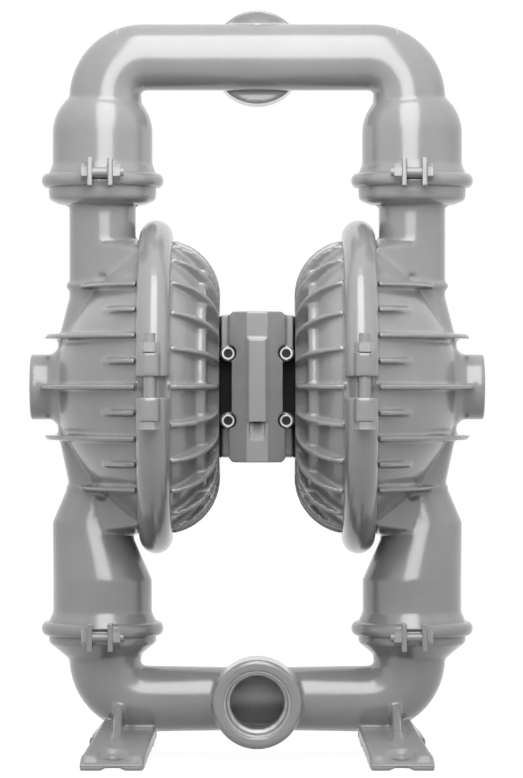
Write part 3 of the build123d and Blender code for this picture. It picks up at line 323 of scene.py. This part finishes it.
def paper_material(name):
    """White paper: near the pump it keeps the shadows, and further off it is plain white."""
    material, tree, shader = new_material(name)
    tree.nodes.remove(shader)
    seen = seen_rays(tree)
    place = tree.nodes.new("ShaderNodeTexCoord")
    reach = tree.nodes.new("ShaderNodeVectorMath")
    reach.operation = "LENGTH"
    tree.links.new(place.outputs["Object"], reach.inputs[0])
    far = ranged(tree, reach.outputs["Value"], 0.35, 1.4, smooth=True)
    paper = tree.nodes.new("ShaderNodeBsdfDiffuse")
    tree.links.new(ranged(tree, far, 0.0, 1.0, 0.20, 0.10), paper.inputs["Color"])
    light = tree.nodes.new("ShaderNodeEmission")
    strength = calculated(tree, "MULTIPLY", ranged(tree, far, 0.0, 1.0, 0.93, 1.0), seen)
    tree.links.new(strength, light.inputs["Strength"])
    both = tree.nodes.new("ShaderNodeAddShader")
    tree.links.new(paper.outputs[0], both.inputs[0])
    tree.links.new(light.outputs[0], both.inputs[1])
    tree.links.new(both.outputs[0], tree.nodes["Material Output"].inputs["Surface"])
    return material


def add_floor():
    mesh = bpy.data.meshes.new("studio_floor")
    half = 12.0
    corners = [(-half, -half, 0), (half, -half, 0), (half, half, 0), (-half, half, 0)]
    mesh.from_pydata(corners, [], [(0, 1, 2, 3)])
    floor = bpy.data.objects.new("studio_floor", mesh)
    bpy.context.scene.collection.objects.link(floor)
    mesh.materials.append(paper_material("floor_paper"))


def add_world():
    """White surroundings that light the pump less than they look."""
    world = bpy.data.worlds.new("studio_world")
    world.use_nodes = True
    tree = world.node_tree
    background = tree.nodes["Background"]
    background.inputs["Color"].default_value = (1, 1, 1, 1)
    strength = ranged(tree, seen_rays(tree), 0.0, 1.0, 0.18, 1.0)
    tree.links.new(strength, background.inputs["Strength"])
    bpy.context.scene.world = world
    bpy.context.scene.view_settings.view_transform = "Standard"


# Materials

def scaled(color, share, plus=0.0):
    return tuple(min(1.0, c * share + plus) for c in color)


def cast_paint_material(name, color, roughness, grain=1.0):
    """Semi-gloss paint over cast metal: orange peel, casting waves, worn edges, painted shade in
    the hollows, dust low down.
    """
    material, tree, shader = new_material(name)
    shader.inputs["Metallic"].default_value = 0.0
    shader.inputs["Specular IOR Level"].default_value = 0.85
    shader.inputs["Coat Weight"].default_value = 0.5
    shader.inputs["Coat Roughness"].default_value = 0.12
    place = tree.nodes.new("ShaderNodeTexCoord").outputs["Object"]
    surface = tree.nodes.new("ShaderNodeNewGeometry").outputs

    patches = noise(tree, place, 14.0, 6.0, roughness=0.6)
    tint = tinted(tree, patches, [(0.30, scaled(color, 0.90)), (0.72, scaled(color, 1.08))])
    edges = ranged(tree, surface["Pointiness"], 0.53, 0.62)
    wear = calculated(tree, "MULTIPLY", edges, noise(tree, place, 160.0, 4.0))
    worn = mixed(tree, wear, tint, (*scaled(color, 1.45, 0.05), 1))
    # Painted shade: the colour is darkened where the surface is hollow, in corners and at the
    # roots of ribs.
    hollow_shade = ranged(tree, surface["Pointiness"], 0.47, 0.38)
    painted_shade_share = calculated(tree, "MULTIPLY", hollow_shade, 0.6)
    painted_shade_color = mixed(tree, painted_shade_share, worn, (*scaled(color, 0.55), 1))
    tree.links.new(painted_shade_color, shader.inputs["Base Color"])

    gloss = ranged(tree, patches, 0.0, 1.0, roughness - 0.05, roughness + 0.08)
    dust = ranged(tree, axes_of(tree, surface["Position"])["Z"], 0.030, 0.012, 0.0, 0.35)
    tree.links.new(calculated(tree, "ADD", gloss, dust), shader.inputs["Roughness"])

    peel = bumped(tree, noise(tree, place, 900.0, 3.0), 0.16 * grain, 0.0003)
    waves = bumped(tree, noise(tree, place, 70.0, 3.0), 0.20 * grain, 0.0008, normal=peel)
    tree.links.new(waves, shader.inputs["Normal"])
    return material


def machined_material(name, color, roughness, metallic=1.0, scale=300.0):
    """Bare metal with fine tool marks and slight stains."""
    material, tree, shader = new_material(name)
    shader.inputs["Metallic"].default_value = metallic
    place = tree.nodes.new("ShaderNodeTexCoord").outputs["Object"]
    stains = noise(tree, place, 60.0, 5.0)
    tint = tinted(tree, stains, [(0.3, scaled(color, 0.82)), (0.75, color)])
    tree.links.new(tint, shader.inputs["Base Color"])
    gloss = ranged(tree, stains, 0.0, 1.0, max(0.02, roughness - 0.06), roughness + 0.12)
    tree.links.new(gloss, shader.inputs["Roughness"])
    marks = bumped(tree, noise(tree, place, scale, 3.0), 0.12, 0.0002)
    tree.links.new(marks, shader.inputs["Normal"])
    return material


def rubber_material(name, color, roughness):
    """Matte rubber or plastic with a fine moulded grain."""
    return machined_material(name, color, roughness, metallic=0.0, scale=700.0)


def slot_painted_shade_material(name, color, roughness):
    """The cast paint with painted shade in the slot under the valve's lower step, where the step
    overhangs it.
    """
    material = cast_paint_material(name, color, roughness)
    tree = material.node_tree
    shader = tree.nodes["Principled BSDF"]
    axes = axes_of(tree, tree.nodes.new("ShaderNodeNewGeometry").outputs["Position"])
    slot_top_z = SLOT_LOW_Z + SLOT_H
    # Painted shade: the slot under the step is made nearly black and matte, as in the shade of the
    # step above it.
    slot_shade_mask = ranged(
        tree, calculated(tree, "ABSOLUTE", axes["X"]), SLOT_HALF_W + MM, 0.3 * SLOT_HALF_W
    )
    for axis, start, end in (
        ("Z", SLOT_LOW_Z, slot_top_z),
        ("Z", slot_top_z + 0.6 * MM, slot_top_z),
        ("Y", VALVE_FRONT_Y + 8 * MM, VALVE_FRONT_Y + 7 * MM),
    ):
        slot_shade_mask = calculated(tree, "MULTIPLY", slot_shade_mask, ranged(tree, axes[axis], start, end))
    clean = shader.inputs["Base Color"].links[0].from_socket
    painted_shade_color = mixed(tree, slot_shade_mask, clean, (*scaled(color, 0.12), 1))
    tree.links.new(painted_shade_color, shader.inputs["Base Color"])
    gloss = shader.inputs["Roughness"].links[0].from_socket
    tree.links.new(calculated(tree, "MAXIMUM", slot_shade_mask, gloss), shader.inputs["Roughness"])
    return material


def painted_socket_shade_screw_material(name):
    """Plated screws with painted shade in their sockets, whose colour is made nearly black."""
    material = machined_material(name, (0.55, 0.55, 0.55), 0.3)
    tree = material.node_tree
    shader = tree.nodes["Principled BSDF"]
    axes = axes_of(tree, tree.nodes.new("ShaderNodeNewGeometry").outputs["Position"])
    squares = []
    for axis, middle, offset in (("X", 0.0, SCREW_X), ("Z", SHAFT_Z, SCREW_Z)):
        off_middle = calculated(tree, "ABSOLUTE", calculated(tree, "SUBTRACT", axes[axis], middle))
        off_screw = calculated(tree, "ABSOLUTE", calculated(tree, "SUBTRACT", off_middle, offset))
        squares.append(calculated(tree, "POWER", off_screw, 2.0))
    square = calculated(tree, "ADD", *squares)
    outside = ranged(tree, square, (0.92 * SOCKET_R) ** 2, (1.12 * SOCKET_R) ** 2)
    metal = shader.inputs["Base Color"].links[0].from_socket
    # Painted shade: the colour inside each socket is nearly black.
    tree.links.new(mixed(tree, outside, (0.03, 0.03, 0.03, 1), metal), shader.inputs["Base Color"])
    return material


def all_materials():
    """Every material by its own name, which is mostly that of its slot."""
    paint = (0.290, 0.290, 0.294)
    aluminium = (0.6, 0.6, 0.61)
    return {
        "cast_paint": cast_paint_material("cast_paint", paint, 0.22),
        # The valve's paint carries painted shade in the slot under its lower step.
        "valve_paint_with_painted_shade": slot_painted_shade_material("valve_paint_with_painted_shade", paint, 0.22),
        # Black rubber, made darker still as painted shade for the gaps beside the valve.
        "gasket": rubber_material("gasket", (0.012, 0.012, 0.012), 0.8),
        "diaphragm_rubber": rubber_material("diaphragm_rubber", (0.02, 0.02, 0.02), 0.6),
        "ball_rubber": rubber_material("ball_rubber", (0.03, 0.03, 0.03), 0.5),
        "valve_seat": machined_material("valve_seat", (0.62, 0.62, 0.63), 0.3),
        "seal_rubber": rubber_material("seal_rubber", (0.02, 0.02, 0.02), 0.5),
        "bronze": machined_material("bronze", (0.55, 0.38, 0.18), 0.3),
        "piston_aluminium": machined_material("piston_aluminium", aluminium, 0.32),
        "machined_aluminium": machined_material("machined_aluminium", aluminium, 0.3),
        "shaft_steel": machined_material("shaft_steel", (0.7, 0.7, 0.71), 0.12),
        "plated_steel": machined_material("plated_steel", (0.62, 0.62, 0.62), 0.28),
        "bare_casting": machined_material(
            "bare_casting", (0.60, 0.60, 0.60), 0.46, metallic=0.6, scale=500.0
        ),
        "screws_with_painted_socket_shade": painted_socket_shade_screw_material("screws_with_painted_socket_shade"),
        "painted_steel": cast_paint_material("painted_steel", paint, 0.36, grain=0.5),
        "muffler_plastic": rubber_material("muffler_plastic", (0.04, 0.04, 0.04), 0.45),
    }


# Mesh tools

def link(name, mesh):
    piece = bpy.data.objects.new(name, mesh)
    bpy.context.scene.collection.objects.link(piece)
    return piece


def applied(piece):
    """Replace a piece's mesh by the one its modifiers give."""
    graph = bpy.context.evaluated_depsgraph_get()
    made = bpy.data.meshes.new_from_object(piece.evaluated_get(graph))
    piece.modifiers.clear()
    old = piece.data
    piece.data = made
    bpy.data.meshes.remove(old)


def add_remesh(piece, voxel):
    """Grow one skin over a solid and what was added to it; voxel in mm."""
    remesh = piece.modifiers.new("remesh", "REMESH")
    remesh.mode = "VOXEL"
    remesh.voxel_size = voxel * MM
    remesh.use_smooth_shade = True


def add_smooth(piece, passes, group=""):
    smooth = piece.modifiers.new("smooth", "SMOOTH")
    smooth.factor = 0.5
    smooth.iterations = passes
    smooth.vertex_group = group


def copied(node, name):
    """A piece that starts as a node's own mesh, joined along the edges of its faces."""
    mesh = frame["nodes"][node].data.copy()
    mesh.materials.clear()
    bm = bmesh.new()
    bm.from_mesh(mesh)
    bmesh.ops.remove_doubles(bm, verts=bm.verts, dist=WELD)
    bm.to_mesh(mesh)
    bm.free()
    return link(name, mesh)


def around(steps):
    return [2 * math.pi * step / steps for step in range(steps)]


def join_rings(bm, rings):
    """Faces between rings of points, and from the last ring back to the first."""
    steps = len(rings[0])
    faces = []
    for one, two in zip(rings, rings[1:] + rings[:1]):
        for step in range(steps):
            after = (step + 1) % steps
            faces.append(bm.faces.new((one[step], one[after], two[after], two[step])))
    bmesh.ops.recalc_face_normals(bm, faces=faces)


def add_lathe(mesh, outline, place):
    """Add a closed solid of revolution, outlined by radius and height in mm, to a mesh."""
    bm = bmesh.new()
    bm.from_mesh(mesh)
    rings = []
    for radius, height in outline:
        points = [
            Vector((radius * math.cos(angle), radius * math.sin(angle), height)) * MM
            for angle in around(LATHE_STEPS)
        ]
        rings.append([bm.verts.new(place @ point) for point in points])
    join_rings(bm, rings)
    bm.to_mesh(mesh)
    bm.free()


def soften(piece, passes, share):
    """Blend a region of a casting, as the fillets of its pattern do."""
    group = piece.vertex_groups.new(name="soften")
    for vert in piece.data.vertices:
        weight = share(vert.co)
        if weight > 0:
            group.add([vert.index], weight, "REPLACE")
    add_smooth(piece, passes, group="soften")
    applied(piece)
    piece.vertex_groups.clear()


# Forms of the castings

def at_joint(side, z):
    return Matrix.Translation((side * COLUMN_X, 0, z))


def about_shaft(side):
    return Matrix.Translation((0, 0, SHAFT_Z)) @ Matrix.Rotation(side * math.pi / 2, 4, "Y")


def added_forms(node):
    """Rings that a casting has beyond its solid: fuller flanges and the air chambers' necks."""
    if node == "inlet_manifold":
        return [(LOWER_FLANGE, at_joint(side, LOWER_JOINT_Z)) for side in SIDES]
    side = -1 if node.startswith("left") else 1
    if node.endswith("liquid_chamber"):
        return [(UPPER_FLANGE, at_joint(side, UPPER_JOINT_Z))]
    if node.endswith("air_chamber"):
        return [(AIR_NECK, about_shaft(side))]
    return []


def round_band(mesh, node):
    """Turn the ridge of a V band into the half round roll that the real band has."""
    x = COLUMN_X * (-1 if node.startswith("left") else 1)
    z = UPPER_JOINT_Z if "outlet" in node else LOWER_JOINT_Z
    slope = (BAND_TIP_R - BAND_EDGE_R) / (BAND_HALF - BAND_TIP_HALF)
    for vert in mesh.vertices:
        dx = vert.co.x - x
        dy = vert.co.y
        height = abs(vert.co.z - z)
        radius = math.hypot(dx, dy)
        if height > BAND_HALF or radius < BAND_EDGE_R:
            continue
        ridge = min(BAND_TIP_R, BAND_EDGE_R + slope * (BAND_HALF - height))
        if abs(radius - ridge) > BAND_NEAR:
            continue
        share = height / BAND_HALF
        roll = BAND_EDGE_R + (BAND_TIP_R - BAND_EDGE_R) * math.sqrt(max(0.0, 1 - share * share))
        vert.co.x = x + dx * roll / radius
        vert.co.y = dy * roll / radius


def at_foot(point):
    """How far a point of the lower manifold is softened: fully on the feet, not at their soles."""
    if point.z > FOOT_TOP_Z or abs(point.y) < FOOT_NEAR_Y or abs(point.x) < FOOT_NEAR_X:
        return 0.0
    return max(0.0, min(1.0, (point.z - FOOT_SOLE_Z) / FOOT_FADE))


def at_shoulder(point):
    """1 where a liquid chamber's column spreads into its dish."""
    rise = point.z - SHAFT_Z
    near_column = SHOULDER_NEAR_X < abs(point.x) < SHOULDER_FAR_X
    near = math.hypot(point.y, rise) > SHOULDER_R and near_column and abs(rise) > SHOULDER_RISE
    return 1.0 if near else 0.0


def round_feet(mesh):
    """Slope the foot pads down to their ends and round the edge, as on the casting."""
    for vert in mesh.vertices:
        point = vert.co
        from_middle = abs(point.y)
        if point.z > PAD_T + PAD_REACH or abs(point.x) < PAD_NEAR_X or from_middle < PAD_NEAR_Y:
            continue
        along = max(0.0, min(1.0, (from_middle - PAD_SLOPE_Y) / (PAD_END_Y - PAD_SLOPE_Y)))
        if point.z > PAD_RELIEF_Z:
            share = min(1.0, (point.z - PAD_RELIEF_Z) / FOOT_FADE)
            point.z -= (PAD_T - PAD_EDGE_T) * along * share
        out = from_middle - PAD_END_Y + PAD_EDGE_R
        up = point.z - PAD_EDGE_T + PAD_EDGE_R
        reach = math.hypot(out, up)
        if out > 0 and up > 0 and reach > PAD_EDGE_R:
            point.y = math.copysign(PAD_END_Y - PAD_EDGE_R + out * PAD_EDGE_R / reach, point.y)
            point.z = PAD_EDGE_T - PAD_EDGE_R + up * PAD_EDGE_R / reach


def lean_boss_end(mesh):
    """Lean the inner end of the outlet boss over the tube, so that it faces down a little."""
    near_y, far_y = BOSS_END_Y
    for vert in mesh.vertices:
        point = vert.co
        rise = point.z - OUTLET_TUBE_TOP
        if rise > 0 and abs(point.x) < BOSS_HALF_W and near_y < point.y < far_y:
            point.y -= BOSS_LEAN * rise * min(1.0, (far_y - point.y) / BOSS_FADE)


def cove_valve_slot(mesh):
    """Make the slot under the valve's lower step shallow, as the real one fades out downward."""
    front = VALVE_FRONT_Y + VALVE_STEP
    for vert in mesh.vertices:
        point = vert.co
        rise = (point.z - SLOT_LOW_Z) / SLOT_H
        in_slot = abs(point.x) < SLOT_HALF_W and 0 < rise < SLOT_TOP
        if in_slot and front < point.y < front + SLOT_REACH:
            point.y = front + (point.y - front) * SLOT_SHARE


def bare_inside(mesh, tube_z, port_z, port_y):
    """Leave the passage of a manifold unpainted."""
    for face in mesh.polygons:
        point = face.center
        off_tube = math.hypot(point.y, point.z - tube_z)
        off_port = math.hypot(point.x, point.z - port_z)
        in_tube = off_tube < TUBE_BORE_R and abs(point.x) < TUBE_BORE_HALF
        in_port = off_port < PORT_BORE_R and 0 < point.y / port_y < PORT_MOUTH
        face.material_index = 1 if in_tube or in_port else 0


# Pieces

def cast_skin(node, voxel, passes, paint, bare):
    """A casting with rounded edges and filleted corners, grown from its solid."""
    piece = copied(node, "cast_" + node)
    for outline, place in added_forms(node):
        add_lathe(piece.data, outline, place)
    add_remesh(piece, voxel)
    add_smooth(piece, passes)
    applied(piece)
    if node == "inlet_manifold":
        round_feet(piece.data)
        soften(piece, FOOT_PASSES, at_foot)
    elif node == "discharge_manifold":
        lean_boss_end(piece.data)
    elif node == "air_valve_body":
        cove_valve_slot(piece.data)
    elif node.endswith("liquid_chamber"):
        soften(piece, SHOULDER_PASSES, at_shoulder)
    elif "_band_" in node:
        round_band(piece.data, node)
    piece.data.materials.append(paint)
    if node in PASSAGES:
        piece.data.materials.append(bare)
        bare_inside(piece.data, *PASSAGES[node])
    body = frame["nodes"][node]["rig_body"]
    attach(piece, body)
    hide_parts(node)


def diaphragm_skin(side, material):
    """The rubber disc between rim and pistons, as a fine even mesh."""
    node = ("left" if side < 0 else "right") + "_diaphragm"
    piece = copied(node, "bending_" + node)
    add_remesh(piece, DIAPHRAGM_VOXEL)
    applied(piece)
    piece.data.materials.append(material)
    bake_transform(piece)
    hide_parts(node)


def thread_mesh(name, place, axis):
    """A tapered inside pipe thread, as a thin closed sleeve whose crests point inward."""
    turn = Vector(axis).to_track_quat("Z", "Y").to_matrix()
    angles = around(THREAD_STEPS)
    rows = int(round(THREAD_L / THREAD_PITCH)) * THREAD_ROWS
    profile = []
    for row in range(rows + 1):
        along = THREAD_L * row / rows
        fade = min(1.0, row / THREAD_FADE_ROWS, (rows - row) / THREAD_FADE_ROWS)
        radii = []
        for step in range(len(angles)):
            phase = (along / THREAD_PITCH - step / len(angles)) % 1.0
            crest = THREAD_DEPTH * fade * (1 - abs(2 * phase - 1))
            radii.append(PORT_THREAD_R - THREAD_TAPER * along - crest)
        profile.append((along, radii))
    back = [PORT_THREAD_R + THREAD_BACK] * len(angles)
    profile += [(THREAD_L, back), (0.0, back)]

    bm = bmesh.new()
    rings = []
    for along, radii in profile:
        points = [
            Vector((radius * math.cos(angle), radius * math.sin(angle), along))
            for radius, angle in zip(radii, angles)
        ]
        rings.append([bm.verts.new(turn @ point + Vector(place)) for point in points])
    join_rings(bm, rings)
    mesh = bpy.data.meshes.new(name)
    bm.to_mesh(mesh)
    bm.free()
    mesh.shade_smooth()
    return mesh


def add_port_threads(material):
    """Tapered pipe thread in the mouth of the inlet and of the outlet."""
    for name, node in (
        ("inlet_port_thread", "inlet_manifold"), ("outlet_port_thread", "discharge_manifold"),
    ):
        _, port_z, port_y = PASSAGES[node]
        inward = -math.copysign(1, port_y)
        place = (0, port_y + inward * THREAD_INSET, port_z)
        piece = link(name, thread_mesh(name, place, (0, inward, 0)))
        piece.data.materials.append(material)
        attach(piece, "pump")


def finish_nodes(materials):
    """Give every node of the model the material of its slot, or its own finish."""
    slots = {row["node"]: row["material_slot"] for row in frame["record"]["subparts"]}
    for name, node in frame["nodes"].items():
        node.data.materials.clear()
        node.data.materials.append(materials[FINISHES.get(name, slots[name])])


def casting_settings():
    """Voxel size and smoothing of every casting."""
    settings = dict(CASTINGS)
    for name in frame["nodes"]:
        if "clamp_" in name and name.endswith("_half"):
            settings[name] = CLAMP_HALF
        if "_band_" in name:
            settings[name] = BAND_HALF_RING
    return settings


add_camera()
add_world()
add_floor()
add_lights()
materials = all_materials()
finish_nodes(materials)
for casting, (voxel, passes) in casting_settings().items():
    paint = materials["valve_paint_with_painted_shade" if casting == "air_valve_body" else "cast_paint"]
    cast_skin(casting, voxel, passes, paint, materials["bare_casting"])
for side in SIDES:
    diaphragm_skin(side, materials["diaphragm_rubber"])
add_port_threads(materials["bare_casting"])
